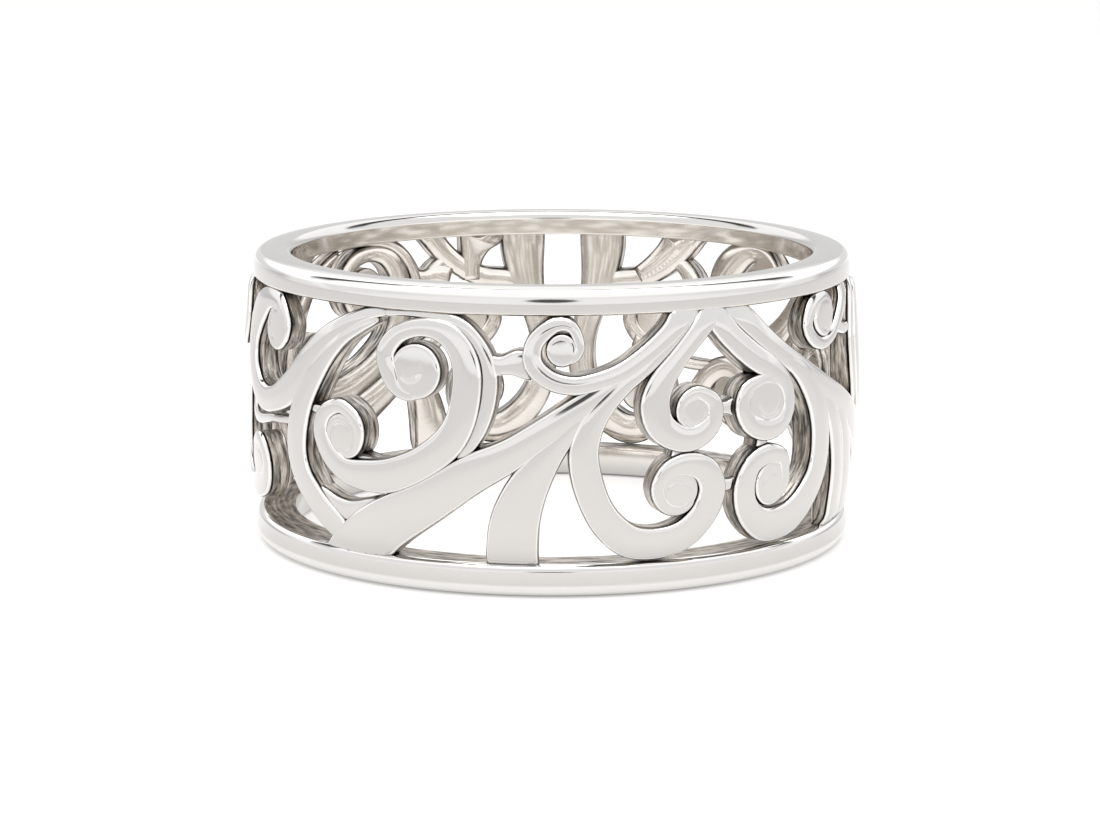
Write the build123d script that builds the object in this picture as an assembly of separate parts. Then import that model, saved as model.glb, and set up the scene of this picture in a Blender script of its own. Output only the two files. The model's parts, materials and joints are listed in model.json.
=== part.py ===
from build123d import *
import os
from collections import namedtuple
from math import cos, radians, sin, tan

# A wide finger ring of cast silver, all one casting: two plain rails with an openwork of
# scrolls between them. Millimetres. The ring's axis is Z, the lower rail rests on z = 0,
# turns are degrees about Z, and turn 0 faces -Y with positive turns towards +X.

# Driving dimensions
BORE_D = 17.35          # finger hole, a US size 7
RING_H = 9.75           # over both rails, along the finger
RAIL_WALL = 1.305       # rails, from the finger hole to their outer face
UPPER_RAIL_H = 0.85
LOWER_RAIL_H = 1.07
UPPER_ROUND = 0.20      # outer edge of the upper rail, fairly sharp
LOWER_ROUND = 0.45      # outer edge of the lower rail, softer
FINGER_ROUND = 0.29     # comfort rounding at both ends of the finger hole
BAND_PROUD = 0.03       # the openwork's face stands this far outside the rails
BAND_LAP = 0.08         # laps this far over them
BAND_CROWN = 0.25       # and its middle bulges this much further
BAND_WALL = 0.86        # openwork at its bulge, thinner than the rails on the finger's side
RECESS_LAP = 0.05       # the hollow behind the openwork cuts this far into the rails
STRAND_W = 1.0          # a full strand, across
GROOVE_DEPTH = 0.22     # grooves in the curls and between merging strands
LEAST_GAP = 0.12        # square millimetres, smaller openings stay filled by the casting
CUTTER_MARGIN = 0.6     # cutters start and end this far off the wall that they pierce
SHEET_HALF_TURN = 200   # degrees, the flat sheet that the gaps are cut from overlaps itself
OUTLINE_STEP = 0.28     # spacing of the points by which a gap's outline is carried over
LEAST_EDGE = 0.07       # shorter stretches of an outline are smoothed away
SMOOTH_TURN = 28        # degrees, an outline that turns by less at a joint runs on smoothly
SHARP_CORNER = 35       # degrees, a gap's corner that is sharper than this is filled
CORNER_FILL = 0.24      # by a bead of metal this wide

# The chart of the openwork was laid out between these two heights, which stand for the
# inner edges of the lower and the upper rail, and with strands 1 across.
CHART_LOW = 1.07
CHART_HIGH = 8.90

BORE_R = BORE_D / 2
RAIL_R = BORE_R + RAIL_WALL
BAND_LOW = LOWER_RAIL_H
BAND_HIGH = RING_H - UPPER_RAIL_H
BAND_EDGE_R = RAIL_R + BAND_PROUD
BAND_CREST_R = BAND_EDGE_R + BAND_CROWN
BAND_BACK_R = BAND_CREST_R - BAND_WALL
MM_PER_DEGREE = radians(1) * BAND_CREST_R

Station = namedtuple("Station", "turn up wide")
Boss = namedtuple("Boss", "turn up wide")
CurlGroove = namedtuple("CurlGroove", "boss start sweep")
Repeat = namedtuple("Repeat", "names mirror_turn")

# Strands: stations along each one, as turn in degrees, height on the chart and width.
STRANDS = {
    # The curl hung from the middle of the upper rail, from its eye to the rail.
    "hung_curl": [
        (3.6, 7.55, 0.30), (4.9, 8.05, 0.33), (3.6, 8.58, 0.40), (0.6, 8.68, 0.50),
        (-2.9, 8.12, 0.58), (-3.2, 7.45, 0.62), (-0.3, 6.95, 0.62), (4.0, 6.78, 0.60),
        (9.0, 6.95, 0.60), (12.7, 7.20, 0.62), (16.2, 7.60, 0.62), (19.2, 8.00, 0.64),
        (21.8, 8.40, 0.70), (24.5, 8.98, 0.85)],
    # The long trunk, from its foot on the lower rail to the top of the heart.
    "trunk": [
        (-41.5, 1.00, 1.90), (-36.3, 1.66, 1.72), (-30.3, 2.36, 1.48), (-22.8, 3.05, 1.25),
        (-14.7, 3.97, 1.15), (-7.3, 4.60, 1.05), (-1.9, 5.25, 0.92), (3.7, 5.93, 0.85),
        (8.9, 6.50, 0.85), (14.1, 7.10, 0.85), (18.6, 7.75, 0.80), (22.4, 8.40, 0.80),
        (25.2, 9.00, 0.90)],
    "front_foot": [
        (-7.2, 0.90, 1.75), (-7.1, 1.60, 1.70), (-6.6, 2.40, 1.62), (-5.0, 3.25, 1.42),
        (-2.6, 4.05, 1.15), (0.4, 4.80, 0.85), (3.6, 5.45, 0.65), (7.0, 6.05, 0.50)],
    # The two lower arms of the heart, each from the trunk round to its eye.
    "heart_low_left": [
        (16.4, 7.25, 0.50), (12.6, 6.75, 0.60), (9.0, 6.10, 0.72), (6.6, 5.40, 0.85),
        (5.6, 4.65, 0.95), (6.1, 3.85, 1.00), (7.8, 2.97, 1.00), (10.3, 2.30, 1.05),
        (14.1, 1.76, 1.12), (19.2, 1.62, 1.18), (24.3, 1.88, 1.06), (28.2, 2.55, 1.00),
        (29.6, 3.30, 1.00), (27.9, 3.92, 0.90), (24.3, 4.18, 0.78), (20.8, 4.00, 0.62),
        (18.9, 3.55, 0.45), (18.9, 3.05, 0.35)],
    "heart_low_right": [
        (44.0, 7.55, 0.50), (47.6, 7.05, 0.60), (51.0, 6.60, 0.75), (54.3, 5.95, 0.90),
        (56.7, 5.20, 1.00), (57.9, 4.36, 1.10), (57.7, 3.55, 1.12), (56.2, 2.90, 1.12),
        (53.0, 2.28, 1.15), (49.4, 1.86, 1.26), (45.6, 1.70, 1.34), (42.2, 1.78, 1.20),
        (39.4, 2.06, 0.98), (37.2, 2.55, 0.90), (36.6, 3.20, 0.85), (38.2, 3.85, 0.72),
        (41.7, 4.13, 0.70), (45.6, 3.95, 0.58), (47.3, 3.40, 0.50), (46.2, 2.85, 0.40)],
    # The two upper curls inside the heart.
    "heart_top_left": [
        (30.5, 9.00, 0.80), (28.0, 8.50, 0.72), (25.2, 7.98, 0.66), (22.3, 7.42, 0.68),
        (19.6, 6.80, 0.85), (18.2, 6.10, 1.00), (19.3, 5.40, 0.98), (22.7, 5.00, 0.90),
        (26.5, 5.02, 0.80), (29.3, 5.45, 0.70), (29.4, 6.05, 0.60), (26.4, 6.40, 0.45),
        (23.9, 6.25, 0.35)],
    "heart_top_right": [
        (30.0, 9.00, 0.90), (31.8, 8.45, 0.88), (34.2, 7.95, 0.86), (38.3, 7.35, 0.88),
        (42.6, 6.87, 0.82), (46.1, 6.33, 0.66), (47.0, 5.65, 0.62), (45.3, 5.10, 0.68),
        (41.6, 4.91, 0.76), (37.7, 5.17, 0.70), (35.7, 5.75, 0.60), (36.6, 6.30, 0.50)],
    "right_trunk": [
        (35.0, 8.95, 0.90), (38.0, 8.42, 0.82), (41.6, 7.86, 0.76), (46.4, 7.22, 0.76),
        (51.0, 6.72, 0.78), (56.0, 6.20, 0.80), (61.0, 5.72, 0.85), (66.5, 5.25, 0.95),
        (72.8, 4.68, 1.05), (80.7, 3.97, 1.15), (88.8, 3.05, 1.25), (96.3, 2.36, 1.48),
        (102.3, 1.66, 1.72), (107.5, 1.00, 1.90)],
    "right_foot": [
        (57.0, 5.90, 0.45), (60.5, 5.35, 0.60), (63.8, 4.50, 0.78), (65.9, 3.60, 0.90),
        (66.9, 2.80, 0.98), (67.1, 2.00, 1.05), (67.1, 0.90, 1.10)],
    "far_right_foot": [
        (63.0, 5.50, 0.40), (67.5, 4.70, 0.70), (71.0, 3.80, 1.00), (73.2, 2.80, 1.25),
        (74.1, 1.90, 1.40), (74.3, 0.90, 1.45)],
    "right_hung_curl": [
        (61.8, 8.78, 0.36), (58.5, 8.72, 0.44), (55.6, 8.45, 0.50), (54.1, 7.95, 0.55),
        (55.7, 7.50, 0.52), (59.0, 7.28, 0.42), (62.9, 7.42, 0.42), (66.4, 7.80, 0.46),
        (69.6, 8.25, 0.55), (73.0, 8.95, 0.70)],
    "right_bridge": [
        (79.5, 7.30, 0.60), (76.0, 7.38, 0.42), (72.0, 7.42, 0.42), (67.0, 7.70, 0.50)],
    # The large double scroll left of the middle, with its raised outer edge.
    "scroll": [
        (-21.0, 6.95, 0.35), (-22.6, 6.75, 0.50), (-26.0, 6.72, 0.60), (-29.7, 7.00, 0.68),
        (-30.6, 7.60, 0.70), (-28.0, 8.20, 0.62), (-23.4, 8.45, 0.60), (-19.2, 8.33, 0.75),
        (-15.9, 7.85, 0.95), (-14.4, 7.10, 1.08), (-14.5, 6.20, 1.22), (-15.6, 5.45, 1.18),
        (-18.3, 4.78, 1.12), (-23.4, 4.17, 1.06), (-29.5, 3.72, 1.12), (-34.7, 3.60, 1.05),
        (-39.6, 3.68, 0.85), (-43.4, 4.13, 0.78), (-45.4, 4.85, 0.70), (-44.2, 5.42, 0.60),
        (-40.6, 5.72, 0.50), (-37.2, 5.42, 0.48), (-36.2, 4.90, 0.42)],
    "scroll_edge": [
        (-22.0, 8.86, 0.30), (-18.0, 8.78, 0.38), (-14.8, 8.42, 0.42), (-12.3, 7.80, 0.44),
        (-10.9, 7.20, 0.38), (-10.5, 6.60, 0.28)],
    "bridge": [
        (-12.2, 7.35, 0.60), (-9.0, 7.42, 0.42), (-6.0, 7.50, 0.60), (-3.0, 7.30, 0.70)],
    # The leaf and the hook beside it, which leave the upper rail together.
    "leaf": [
        (-33.0, 8.60, 0.30), (-36.5, 8.28, 0.40), (-40.4, 7.88, 0.52), (-44.3, 7.28, 0.70),
        (-47.5, 6.60, 0.86), (-50.7, 5.72, 0.96), (-52.7, 4.85, 1.04), (-53.3, 3.95, 1.05),
        (-51.9, 3.20, 1.00), (-48.6, 2.55, 0.98), (-44.8, 2.05, 0.90), (-42.2, 1.75, 0.60)],
    "leaf_tie": [
        (-47.0, 3.00, 0.20), (-43.5, 2.62, 0.30), (-39.0, 2.50, 0.40), (-34.0, 2.70, 0.40)],
    "hook": [
        (-31.0, 8.88, 0.40), (-34.5, 8.75, 0.45), (-39.2, 8.38, 0.60), (-44.7, 7.78, 0.80),
        (-49.2, 7.10, 0.88), (-55.2, 5.98, 1.08), (-62.3, 5.38, 0.88), (-68.6, 5.40, 0.95),
        (-73.2, 6.10, 1.00), (-74.4, 7.00, 1.10), (-72.6, 7.80, 1.25), (-69.0, 8.35, 1.10),
        (-65.0, 8.60, 0.74), (-60.6, 8.50, 0.60), (-57.5, 8.00, 0.45)],
    "hook_tie": [
        (-95.5, 5.00, 0.55), (-88.0, 4.45, 0.45), (-80.5, 4.25, 0.40), (-74.0, 4.34, 0.34),
        (-67.0, 4.58, 0.27), (-61.0, 4.70, 0.27), (-55.0, 4.85, 0.30)],
    # Left side, carried on plainly round to the back.
    "low_arm": [
        (-118.0, 8.95, 0.70), (-113.0, 8.45, 0.75), (-107.5, 7.70, 0.85), (-103.0, 6.80, 0.90),
        (-99.0, 5.80, 0.95), (-96.2, 4.80, 1.00), (-94.2, 3.80, 1.00), (-91.2, 2.90, 1.00),
        (-86.5, 2.25, 0.95), (-80.0, 2.00, 0.90), (-73.5, 2.15, 0.85), (-68.0, 2.50, 0.80),
        (-66.3, 3.15, 0.70), (-68.3, 3.70, 0.60)],
    "low_foot": [
        (-92.5, 3.40, 0.50), (-95.5, 2.40, 0.80), (-97.0, 1.70, 1.10), (-97.5, 0.90, 1.30)],
    # The back, opposite the middle: two posts that end in curls.
    "left_post": [
        (167.65, 9.05, 1.75), (167.75, 8.30, 1.68), (168.25, 7.50, 1.45), (169.35, 6.60, 1.15),
        (170.85, 5.80, 1.00), (172.05, 4.90, 0.95), (172.15, 3.90, 1.00), (170.45, 2.90, 1.05),
        (166.75, 2.10, 1.10), (161.75, 1.62, 1.16), (156.95, 1.90, 1.00), (154.05, 2.75, 0.95),
        (154.35, 3.55, 0.85), (157.25, 3.98, 0.70), (160.65, 3.75, 0.55)],
    "left_branch": [
        (168.25, 7.00, 0.70), (163.75, 7.20, 0.72), (158.75, 7.30, 0.75), (153.75, 7.70, 0.75),
        (149.25, 8.35, 0.80), (146.25, 9.00, 0.95)],
    "left_high_curl": [
        (151.25, 8.10, 0.50), (147.45, 7.55, 0.70), (145.85, 6.80, 0.80), (146.65, 6.00, 0.85),
        (149.75, 5.30, 0.85), (154.45, 4.95, 0.80), (158.85, 5.15, 0.72), (161.25, 5.75, 0.62),
        (160.05, 6.35, 0.50)],
    "back_low_curl": [
        (150.8, 1.00, 1.10), (149.0, 2.00, 0.95), (146.5, 3.10, 0.90), (143.0, 3.95, 0.85),
        (138.5, 4.30, 0.80), (134.0, 4.00, 0.72), (132.2, 3.20, 0.65), (134.0, 2.50, 0.55)],
    "back_trunk": [
        (242.0, 1.00, 1.70), (236.6, 1.68, 1.60), (230.3, 2.36, 1.46), (222.8, 3.05, 1.25),
        (215.8, 3.85, 1.05), (209.8, 4.65, 0.85), (204.5, 5.30, 0.60)],
    "back_foot": [
        (207.4, 0.90, 1.50), (207.4, 1.60, 1.45), (207.9, 2.40, 1.30), (209.2, 3.20, 1.05),
        (211.8, 4.05, 0.80)],
}

# The round end of each curl, and the small beads that join neighbouring curls.
BOSSES = {
    "hung_curl_eye": (1.8, 7.86, 1.10),
    "scroll_upper_eye": (-25.4, 7.40, 1.36),
    "scroll_lower_eye": (-40.2, 4.78, 1.46),
    "heart_low_left_eye": (22.9, 3.32, 1.36),
    "heart_top_left_eye": (26.0, 5.72, 1.46),
    "heart_top_right_eye": (41.4, 5.82, 1.72),
    "heart_low_right_eye": (43.3, 3.16, 1.76),
    "right_hung_eye": (60.2, 8.12, 1.34),
    "hook_eye": (-60.8, 7.78, 1.56),
    "low_eye": (-70.8, 3.00, 1.70),
    "back_low_eye": (137.6, 3.25, 1.60),
    "left_post_eye": (158.05, 2.98, 1.42),
    "left_high_eye": (155.65, 5.85, 1.46),
    "heart_left_bead": (23.2, 4.56, 0.42),
    "heart_right_bead": (41.4, 4.54, 0.42),
    "heart_upper_bead": (32.55, 5.80, 0.66),
    "heart_lower_bead": (33.3, 3.30, 0.52),
    "scroll_bead": (-47.7, 5.42, 0.60),
}

# What the openwork repeats: each group is mirrored in the turn given.
REPEATS = [
    Repeat(("scroll", "scroll_edge", "leaf", "leaf_tie", "hook", "hook_tie", "scroll_upper_eye",
            "scroll_lower_eye", "hook_eye", "scroll_bead"), 33.0),
    Repeat(("scroll", "scroll_edge", "bridge", "leaf", "leaf_tie", "scroll_upper_eye",
            "scroll_lower_eye", "scroll_bead"), -80.0),
    Repeat(("hung_curl", "bridge", "hung_curl_eye"), -42.1),
    Repeat(("left_post", "left_branch", "left_high_curl", "left_post_eye", "left_high_eye"), 177.25),
]

# Grooves that part strands where they merge: stations as in the table of strands.
PARTING_GROOVES = {
    "scroll_and_edge": [
        (-19.0, 8.60, 0.08), (-15.4, 8.28, 0.12), (-12.9, 7.60, 0.13), (-12.0, 6.90, 0.08)],
    "hung_curl_and_trunk": [
        (3.0, 6.32, 0.13), (7.6, 6.62, 0.13), (12.0, 7.02, 0.12), (16.5, 7.60, 0.08)],
    "trunk_and_front_foot": [
        (-5.4, 4.30, 0.12), (-1.2, 4.98, 0.13), (3.6, 5.62, 0.12), (8.0, 6.18, 0.08)],
    "front_foot_and_heart": [
        (3.1, 4.85, 0.13), (5.4, 5.50, 0.12), (8.4, 6.05, 0.08)],
    "heart_arms": [
        (16.0, 6.75, 0.13), (19.0, 7.35, 0.13), (22.6, 8.00, 0.12), (26.0, 8.62, 0.08)],
    "right_arms": [
        (36.0, 8.55, 0.08), (40.0, 7.92, 0.12), (44.4, 7.26, 0.13), (48.2, 6.62, 0.13)],
    "leaf_and_hook": [
        (-53.4, 5.50, 0.13), (-49.4, 6.55, 0.13), (-44.7, 7.42, 0.12), (-39.0, 8.18, 0.08)],
    "scroll_and_trunk": [
        (-32.6, 3.02, 0.13), (-26.0, 3.38, 0.13), (-20.0, 3.95, 0.12), (-15.6, 4.55, 0.08)],
}

# The spiral groove in the end of each curl: where it starts on the boss, and how far it runs.
CURL_GROOVES = [
    CurlGroove("hung_curl_eye", -60, 230),
    CurlGroove("scroll_upper_eye", 60, 220),
    CurlGroove("scroll_lower_eye", -80, -230),
    CurlGroove("heart_low_left_eye", -60, 250),
    CurlGroove("heart_top_left_eye", 180, -250),
    CurlGroove("heart_top_right_eye", 10, -230),
    CurlGroove("heart_low_right_eye", -110, -250),
    CurlGroove("right_hung_eye", 10, -200),
    CurlGroove("hook_eye", 60, 230),
    CurlGroove("low_eye", -90, 230),
]
CURL_GROOVE_OUT = 0.66      # where the spiral starts and ends, as shares of the boss's radius
CURL_GROOVE_IN = 0.30
CURL_GROOVE_STATIONS = 6
CURL_GROOVE_WIDE = 0.12


def chart_height(up):
    """Height on the ring of a height on the chart, so that the openwork fills the band."""
    share = (up - CHART_LOW) / (CHART_HIGH - CHART_LOW)
    return BAND_LOW + share * (BAND_HIGH - BAND_LOW)


def along_circle(before, here, after):
    """Direction at the middle one of three points, as on the circle through them."""
    first = here - before
    last = after - here
    return (first / first.length**2 + last / last.length**2).normalized()


def strand_face(stations):
    """One strand as a flat face: a smooth side through each station's edge, left and right."""
    rows = [Station(*row) for row in stations]
    centres = [Vector(row.turn * MM_PER_DEGREE, chart_height(row.up)) for row in rows]
    ahead = centres[-1] + (centres[-1] - centres[-2])
    behind = centres[0] - (centres[1] - centres[0])
    padded = [behind] + centres + [ahead]
    left = []
    right = []
    for row, before, here, after in zip(rows, padded, centres, padded[2:]):
        direction = along_circle(before, here, after)
        across = Vector(-direction.Y, direction.X) * (row.wide * STRAND_W / 2)
        left.append(here + across)
        right.append(here - across)
    outline = [Edge.make_spline(left), Edge.make_line(left[-1], right[-1]),
               Edge.make_spline(right[::-1]), Edge.make_line(right[0], left[0])]
    return Face(Wire(outline))


def boss_face(row):
    boss = Boss(*row)
    centre = Plane((boss.turn * MM_PER_DEGREE, chart_height(boss.up)))
    return Face(Wire.make_circle(boss.wide * STRAND_W / 2, centre))


def mirrored(row, mirror_turn):
    turn, up, wide = row
    return (2 * mirror_turn - turn, up, wide)


def with_repeats(strands, bosses):
    """All strands and bosses, the repeated groups included."""
    all_strands = list(strands.values())
    all_bosses = list(bosses.values())
    for group in REPEATS:
        for name in group.names:
            if name in strands:
                all_strands.append([mirrored(row, group.mirror_turn) for row in strands[name]])
            else:
                all_bosses.append(mirrored(bosses[name], group.mirror_turn))
    return all_strands, all_bosses


def near_sheet(turns):
    """The whole turns by which a strand is moved to lie on the sheet that is cut."""
    moves = (-360, 0, 360)
    return [move for move in moves
            if max(turns) + move > -SHEET_HALF_TURN and min(turns) + move < SHEET_HALF_TURN]


def flat_openwork():
    """Faces of all the metal between the rails, on a sheet a little over one turn long."""
    strands, bosses = with_repeats(STRANDS, BOSSES)
    faces = []
    for stations in strands:
        for move in near_sheet([row[0] for row in stations]):
            faces.append(strand_face([(row[0] + move, row[1], row[2]) for row in stations]))
    for row in bosses:
        for move in near_sheet([row[0]]):
            faces.append(boss_face((row[0] + move, row[1], row[2])))
    return faces


def outline_edges(gap):
    return [edge for edge in gap.outer_wire().order_edges() if edge.length > LEAST_EDGE]


def joints(edges):
    """Each edge of a closed outline with the one that follows it."""
    return list(zip(edges, edges[1:] + edges[:1]))


def sharp_corner_beads(gap):
    """Discs over the corners of a gap that are too sharp to cast."""
    beads = []
    for edge, following in joints(outline_edges(gap)):
        back_along = edge.tangent_at(1) * -1
        if back_along.get_angle(following.tangent_at(0)) < SHARP_CORNER:
            beads.append(Face(Wire.make_circle(CORNER_FILL / 2, Plane(edge.position_at(1)))))
    return beads


def flat_gaps():
    """The openings between the strands, each centred in the one turn that the ring has."""
    length = 2 * SHEET_HALF_TURN * MM_PER_DEGREE
    height = BAND_HIGH - BAND_LOW
    middle = Plane((0, (BAND_LOW + BAND_HIGH) / 2))
    sheet = Face.make_rect(length, height, middle)
    left_over = sheet.cut(*flat_openwork())
    gaps = []
    for gap in left_over.faces():
        turn = gap.center().X / MM_PER_DEGREE
        if gap.area > LEAST_GAP and -180 <= turn < 180:
            beads = sharp_corner_beads(gap)
            gaps.append(gap.cut(*beads).face() if beads else gap)
    return gaps


def smooth_runs(gap):
    """The outline's edges in groups, each from one corner to the next."""
    edges = outline_edges(gap)
    corners = [at for at, (edge, following) in enumerate(joints(edges))
               if edge.tangent_at(1).get_angle(following.tangent_at(0)) > SMOOTH_TURN]
    first = corners[0] + 1
    edges = edges[first:] + edges[:first]
    breaks = [corner - first + 1 for corner in corners[1:]] + [len(edges)]
    return [edges[start:end] for start, end in zip([0] + breaks, breaks)]


def run_points(run):
    """Points along a run of edges, its ends included, or the ends alone where it is straight."""
    if len(run) == 1 and run[0].geom_type == GeomType.LINE:
        return [run[0].position_at(0)]
    points = []
    for edge in run:
        steps = max(2, round(edge.length / OUTLINE_STEP))
        points += [edge.position_at(step / steps) for step in range(steps)]
    return points


def projected(face, distance, middle_turn):
    """A flat outline laid in the plane at this distance from the axis, seen from the axis."""
    plane = Plane(origin=(0, -distance, 0), x_dir=(1, 0, 0), z_dir=(0, -1, 0))
    runs = []
    for points in map(run_points, smooth_runs(face)):
        turns = [point.X / MM_PER_DEGREE - middle_turn for point in points]
        runs.append([plane.from_local_coords(Vector(distance * tan(radians(turn)), point.Y))
                     for turn, point in zip(turns, points)])
    edges = []
    for points, following in joints(runs):
        closed = points + [following[0]]
        edges.append(Edge.make_line(*closed) if len(points) == 1 else Edge.make_spline(closed))
    return Wire(edges)


def radial_cutter(face, inner, outer):
    """A solid whose walls run straight out from the axis through the outline."""
    middle_turn = face.center().X / MM_PER_DEGREE
    wires = [projected(face, inner, middle_turn), projected(face, outer, middle_turn)]
    return Solid.make_loft(wires, ruled=True).rotate(Axis.Z, middle_turn)


def groove_stations(groove):
    """Stations of a spiral that winds inwards on the round end of a curl."""
    boss = Boss(*BOSSES[groove.boss])
    radius = boss.wide / 2
    rows = []
    for step in range(CURL_GROOVE_STATIONS):
        share = step / (CURL_GROOVE_STATIONS - 1)
        angle = radians(groove.start + share * groove.sweep)
        reach = radius * (CURL_GROOVE_OUT + share * (CURL_GROOVE_IN - CURL_GROOVE_OUT))
        turn = boss.turn + reach * cos(angle) * STRAND_W / MM_PER_DEGREE
        taper = 1 - 0.5 * share
        rows.append((turn, boss.up + reach * sin(angle), CURL_GROOVE_WIDE * taper))
    return rows


def blank():
    """The ring before it is pierced: both rails and the bulging band, turned as one."""
    low = BAND_LOW - BAND_LAP
    high = BAND_HIGH + BAND_LAP
    hollow_low = BAND_LOW - RECESS_LAP
    hollow_high = BAND_HIGH + RECESS_LAP
    outline = [
        Edge.make_line((BORE_R, 0), (RAIL_R, 0)),
        Edge.make_line((RAIL_R, 0), (RAIL_R, low)),
        Edge.make_line((RAIL_R, low), (BAND_EDGE_R, low)),
        Edge.make_three_point_arc((BAND_EDGE_R, low), (BAND_CREST_R, (low + high) / 2),
                                  (BAND_EDGE_R, high)),
        Edge.make_line((BAND_EDGE_R, high), (RAIL_R, high)),
        Edge.make_line((RAIL_R, high), (RAIL_R, RING_H)),
        Edge.make_line((RAIL_R, RING_H), (BORE_R, RING_H)),
        Edge.make_line((BORE_R, RING_H), (BORE_R, hollow_high)),
        Edge.make_line((BORE_R, hollow_high), (BAND_BACK_R, hollow_high)),
        Edge.make_line((BAND_BACK_R, hollow_high), (BAND_BACK_R, hollow_low)),
        Edge.make_line((BAND_BACK_R, hollow_low), (BORE_R, hollow_low)),
        Edge.make_line((BORE_R, hollow_low), (BORE_R, 0)),
    ]
    section = Face(Wire(outline))
    for radius, height, rounding in (
            (BORE_R, 0, FINGER_ROUND), (BORE_R, RING_H, FINGER_ROUND),
            (RAIL_R, 0, LOWER_ROUND), (RAIL_R, RING_H, UPPER_ROUND)):
        corner = section.vertices().sort_by_distance((radius, height, 0))[0]
        section = section.fillet_2d(rounding, [corner])
    return revolve(Plane.XZ * section, Axis.Z)


def openwork_ring():
    """The blank pierced by every gap, with the grooves cut into its face."""
    ring = blank().solid()
    gap_cutters = [radial_cutter(gap, BAND_BACK_R - CUTTER_MARGIN, BAND_CREST_R + CUTTER_MARGIN)
                   for gap in flat_gaps()]
    groove_rows = list(PARTING_GROOVES.values())
    groove_rows += [groove_stations(groove) for groove in CURL_GROOVES]
    groove_cutters = [radial_cutter(strand_face(rows), BAND_EDGE_R - GROOVE_DEPTH,
                                    BAND_CREST_R + CUTTER_MARGIN) for rows in groove_rows]
    return ring.cut(*gap_cutters).cut(*groove_cutters)


os.makedirs("parts", exist_ok=True)
ring = openwork_ring()
ring.label = "openwork_ring"
export_step(ring, "parts/openwork_ring.step")
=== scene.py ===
import json
import math

import bmesh
import bpy
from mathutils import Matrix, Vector


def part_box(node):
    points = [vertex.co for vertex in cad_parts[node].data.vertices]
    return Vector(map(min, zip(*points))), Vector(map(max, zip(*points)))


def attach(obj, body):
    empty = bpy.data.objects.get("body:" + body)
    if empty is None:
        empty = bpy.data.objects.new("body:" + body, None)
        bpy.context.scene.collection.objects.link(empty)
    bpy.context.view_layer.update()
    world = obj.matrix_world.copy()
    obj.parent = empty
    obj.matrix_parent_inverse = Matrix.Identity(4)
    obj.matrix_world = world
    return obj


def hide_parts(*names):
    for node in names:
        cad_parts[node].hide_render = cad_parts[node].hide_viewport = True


# The frame: the ring's solid. Its box and finger hole give the ring's height, crest and bore.
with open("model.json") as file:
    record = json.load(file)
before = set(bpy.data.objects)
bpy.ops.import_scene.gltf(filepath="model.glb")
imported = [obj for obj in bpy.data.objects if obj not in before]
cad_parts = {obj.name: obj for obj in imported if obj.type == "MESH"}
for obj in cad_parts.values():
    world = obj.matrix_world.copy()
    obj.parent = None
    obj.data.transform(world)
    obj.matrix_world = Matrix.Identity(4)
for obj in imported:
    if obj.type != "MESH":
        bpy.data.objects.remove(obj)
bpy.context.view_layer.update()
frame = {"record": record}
low_corner, high_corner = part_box("openwork_ring")
ring_height = high_corner.z - low_corner.z
MM = 0.001
finger_hole = next(m for m in frame["record"]["mounts"] if m["name"] == "finger_bore")
bore_radius = finger_hole["dims"]["r_mm"] * MM
crest_radius = high_corner.x


# Polished silver, the metal of the whole ring: cast sterling, then barrelled and buffed. The
# rounded edges get a painted highlight, a colour brighter than the faces', and the edges of
# the walls get a painted dark line for their shade. The side towards the finger is only
# smoothed, and the walls of the gaps, which no buff reaches, keep the skin of the casting.
EDGE, FACE, FINGER_SIDE, WALL, SHADE_LINE = 0.0, 0.3, 0.6, 0.85, 1.0     # a vertex's finish, and where a highlight or a dark line is painted
FINISH_AND_PAINTED_LIGHT_COLOURS = {EDGE: "#EAE9E7", FACE: "#CDCBC9", FINGER_SIDE: "#E8E3DD", WALL: "#CEC7BF",
                  SHADE_LINE: "#2C2825"}
FINISH_ROUGHNESS = {EDGE: 0.05, FACE: 0.09, FINGER_SIDE: 0.15, WALL: 0.36, SHADE_LINE: 0.40}
FINISH_STREAKS = {EDGE: 0.0, FACE: 0.0, FINGER_SIDE: 0.06, WALL: 1.0, SHADE_LINE: 1.0}
BUFF_WAVE = 1.1 * MM       # width of the slight waves that hand buffing leaves,
BUFF_HEIGHT = 0.008 * MM   # their height,
BUFF_STRENGTH = 0.3        # and how much of it the sheen of a face shows
STREAKS_ALONG = 1.1        # streaks of the cast skin, per mm along a wall
STREAKS_ACROSS = 8.0       # and per mm of its depth
STREAK_HEIGHT = 0.07 * MM
STREAK_RANGE = (0.38, 0.62)     # where their pattern goes from one of these values to the
STREAK_TONES = (0.16, 1.20)     # other, so do these shares of a wall's colour
CREVICE = 0.11 * MM        # painted shade darkens corners and grooves narrower than this:
CREVICE_OPEN = (0.25, 0.80)     # as this share of what is round them is open,
CREVICE_TONES = (0.16, 1.0)     # this share of their colour is left
CREVICE_SAMPLES = 6


def linear(code):
    channels = [int(code[i:i + 2], 16) / 255 for i in (1, 3, 5)]
    return [c / 12.92 if c <= 0.04045 else ((c + 0.055) / 1.055) ** 2.4 for c in channels] + [1]


def add_node(material, kind, links=(), second=None, **settings):
    """Adds a node, sets its properties, named inputs and second input, and links its inputs."""
    node = material.node_tree.nodes.new(kind)
    if second is not None:
        node.inputs[1].default_value = second
    for name, value in settings.items():
        if name in node.inputs:
            node.inputs[name].default_value = value
        elif name.replace("_", " ") in node.inputs:
            node.inputs[name.replace("_", " ")].default_value = value
        else:
            setattr(node, name, value)
    for output, entry in links:
        material.node_tree.links.new(output, node.inputs[entry])
    return node


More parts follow.
